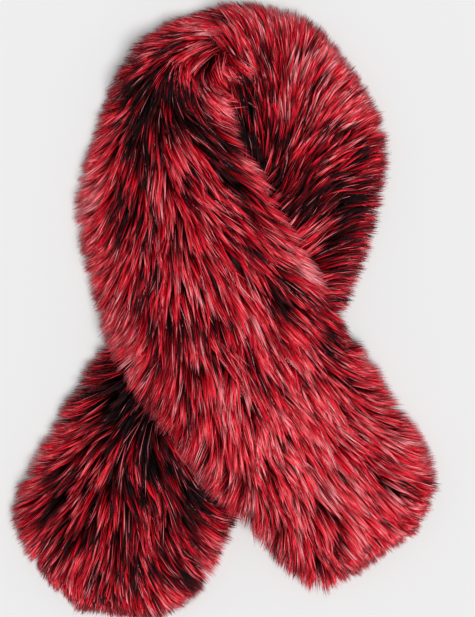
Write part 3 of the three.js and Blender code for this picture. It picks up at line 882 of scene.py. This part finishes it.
def guard_hair_dye_and_light():
    """Dyed guard hair with painted light: dark at the root, partly its own dark base and partly
    painted shade deep in the pile; its lock's dye in the middle; paler at the tip, partly frost and
    partly painted highlight.

    The dye runs from charcoal over maroon and crimson to pale pink, which is what makes the
    pile look streaked; the pale pink end also serves the strands that are painted highlights. The
    frost and painted tip highlight are left off dark hair, so that blotches stay dark. A soft, weak
    gloss keeps the strands' colour full under the lamp.
    """
    material, tree, shader = new_material("guard hair dye and painted light")
    where = node(tree, "UVMap", uv_map="OFBake")
    place = node(tree, "SeparateXYZ", {"Vector": where.outputs["UV"]})
    # Its pale pink end is where the painted highlight strands lie.
    dye_and_light = ramp(tree, place.outputs["Y"], [
        (0.0, "#161012"), (0.16, "#2e1014"), (0.3, "#780812"), (0.44, "#cc0a24"),
        (0.58, "#f81c38"), (0.72, "#ff404e"), (0.86, "#ff6c76"), (1.0, "#ffacb2"),
    ])
    # Darker towards the root: partly the hair's dark base, partly painted shade deep in the pile.
    depth = ramp(tree, place.outputs["X"], [
        (0.0, "#0e0405"), (0.25, "#5a3035"), (0.5, "#d4b0b2"), (0.7, "#ffffff"),
    ])
    deep = mixed(tree, 1.0, dye_and_light, depth, blend_type="MULTIPLY")
    # Paler tips in #ff7881: partly frost, partly painted highlight of light on and through the
    # tips.
    frost_and_tip_light = ranged(tree, place.outputs["X"], 0.72, 1.0, 0.0, 0.32)
    dyed = ranged(tree, place.outputs["Y"], 0.1, 0.46, 0.15, 1.0)
    frosted_and_lit = mixed(tree, product(tree, frost_and_tip_light, dyed), deep, linear("#ff7881"))
    finish_material(tree, shader, frosted_and_lit, 0.48)
    shader.inputs["Specular IOR Level"].default_value = 0.07
    return material


def dark_underfur():
    """Dense dark underfur: maroon black with fine woolly noise, seen only between locks."""
    material, tree, shader = new_material("dark underfur")
    where = node(tree, "TexCoord")
    wool = noise(tree, where, 700.0, 4.0)
    clumps = product(tree, wool, noise(tree, where, 60.0, 2.0))
    colour = ramp(tree, clumps, [(0.1, "#140708"), (0.3, "#35090f"), (0.5, "#5a101b")])
    finish_material(tree, shader, colour, 0.9, bump=(wool, 0.8, 0.002))
    return material


def suede_hide():
    """The flesh side of a dyed hide: dull red suede with a fine nap and soft cloudy stains."""
    material, tree, shader = new_material("suede hide")
    where = node(tree, "TexCoord")
    nap = noise(tree, where, 1400.0, 5.0)
    cloud = noise(tree, where, 38.0, 3.0)
    colour = ramp(tree, cloud, [(0.3, "#5c2023"), (0.5, "#6f2729"), (0.7, "#82302f")])
    finish_material(tree, shader, colour, 0.88, bump=(nap, 0.5, 0.0006))
    return material


GUARD_HAIR, UNDERFUR, HIDE = guard_hair_dye_and_light(), dark_underfur(), suede_hide()


# The three stretches


def seen_part(run):
    """A function that tells how much of a run's hair is seen over points.

    It is 1 in the open, more where the front's hair parts, and 0 where the front stretch lies
    over the run.
    """
    def front_seen(points):
        """1, and more at the partings."""
        return 1 + patches(FULLER, points)

    def under_seen(points):
        """1 in the open and beside the seam, falling to 0 within the room below the front."""
        inside = read_map(front_run["map"]["inside"], points)
        from_seam = front_run["length"][-1] - read_map(front_run["map"]["to_end"], points)
        climb = smooth((from_seam - CLIMB_FROM) / CLIMB_LENGTH)
        room = ROOTS_UNDER[0] + ROOTS_UNDER[1] * climb
        return np.where(from_seam < ROOTS_AT_SEAM, 1.0, below(inside, room, ROOTS_FADE))

    return front_seen if run is front_run else under_seen


def make_stretch(name, run, comb, dye_and_light_table, start, end, free_end, leaders, meshes, seed):
    """The hide, underfur and guard hair of one stretch, its flat size and its cloth's area.

    The hair's meshes share out the strands by their distance from the stretch's first corner.
    """
    rng = np.random.default_rng(seed)
    hide_rings, lengths, inner = inner_rings(run, start, end, free_end, hide_height)
    hide = ring_piece(name + "_hide", hide_rings, HIDE)
    fur_rings, _, _ = inner_rings(run, start, end, free_end, underfur_height)
    underfur = ring_piece(name + "_underfur", fur_rings, UNDERFUR)
    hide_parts(name + "_stretch")

    roots = roots_on(fur_rings, leaders, rng, seen_part(run))
    lines, radii, dyes_and_light = grow_hair(run, comb, dye_and_light_table, roots, rng, seed)
    from_corner = np.hypot(*(roots[:, :2] - fur_rings[0, 0, :2]).T)
    order = np.argsort(np.repeat(from_corner, LOCK_MEMBERS))
    hair = [
        strand_mesh(f"{name}_guard_hair_{k + 1}", lines[part], radii[part], dyes_and_light[part], GUARD_HAIR)
        for k, part in enumerate(np.array_split(order, meshes))
    ]
    length = float(lengths[-1] - lengths[0]) * MM
    width = float(2 * inner.max()) * MM
    return hide, [underfur, *hair], (width, length), cloth_area(hide_rings)


# Floor, lights and camera


def set_stage():
    """A plain pale floor, soft light from all round and a large soft lamp, camera straight down.

    The camera stands where the photo's frame just fills its picture at the rim's height.
    """
    far = FLOOR_REACH
    floor_mesh = bpy.data.meshes.new("floor")
    corners = [(-far, -far, 0), (far, -far, 0), (far, far, 0), (-far, far, 0)]
    floor_mesh.from_pydata(corners, [], [(0, 1, 2, 3)])
    material, _, shader = new_material("pale floor")
    shader.inputs["Base Color"].default_value = linear("#d2d2d2")
    shader.inputs["Roughness"].default_value = 0.9
    floor_mesh.materials.append(material)
    floor = bpy.data.objects.new("floor", floor_mesh)
    bpy.context.scene.collection.objects.link(floor)

    world = bpy.data.worlds.new("studio")
    world.use_nodes = True
    background = world.node_tree.nodes["Background"]
    background.inputs["Color"].default_value = (1, 1, 1, 1)
    background.inputs["Strength"].default_value = SKY_STRENGTH
    bpy.context.scene.world = world
    lamp = bpy.data.lights.new("studio lamp", "SUN")
    lamp.energy, lamp.angle = LAMP_STRENGTH, math.radians(LAMP_SPREAD)
    light = bpy.data.objects.new("studio lamp", lamp)
    light.rotation_euler = (math.radians(LAMP_TILT[0]), math.radians(LAMP_TILT[1]), 0)
    bpy.context.scene.collection.objects.link(light)

    camera_data = bpy.data.cameras.new("camera")
    camera_data.lens, camera_data.sensor_width, camera_data.sensor_fit = LENS, SENSOR, "AUTO"
    camera = bpy.data.objects.new("camera", camera_data)
    centre = to_plan((IMAGE_WIDTH / 2, IMAGE_HEIGHT / 2)) * MM
    distance = IMAGE_HEIGHT * PIXEL_MM * MM * LENS / SENSOR
    camera.location = (centre[0], centre[1], distance + RIM_HEIGHT * MM)
    bpy.context.scene.collection.objects.link(camera)
    bpy.context.scene.camera = camera
    bpy.context.scene.view_settings.view_transform = "Standard"


set_stage()

# name, run, comb, dye and painted light, start, end, free end, leaders, meshes, seed
UNDER_END, FRONT_END = float(under_run["length"][-1]), float(front_run["length"][-1])
STRETCHES = [
    ("neck", under_run, NECK_COMB, NECK_DYE_AND_LIGHT, 0.0, JOIN - SEAM_GAP / 2, False, 1925, 1, 11),
    ("tail", under_run, TAIL_COMB, TAIL_DYE_AND_LIGHT, JOIN + SEAM_GAP / 2, UNDER_END, True, 2200, 2, 31),
    ("front", front_run, FRONT_COMB, FRONT_DYE_AND_LIGHT, SEAM_GAP, FRONT_END, True, 5865, 3, 51),
]
for stretch in STRETCHES:
    make_stretch(*stretch)
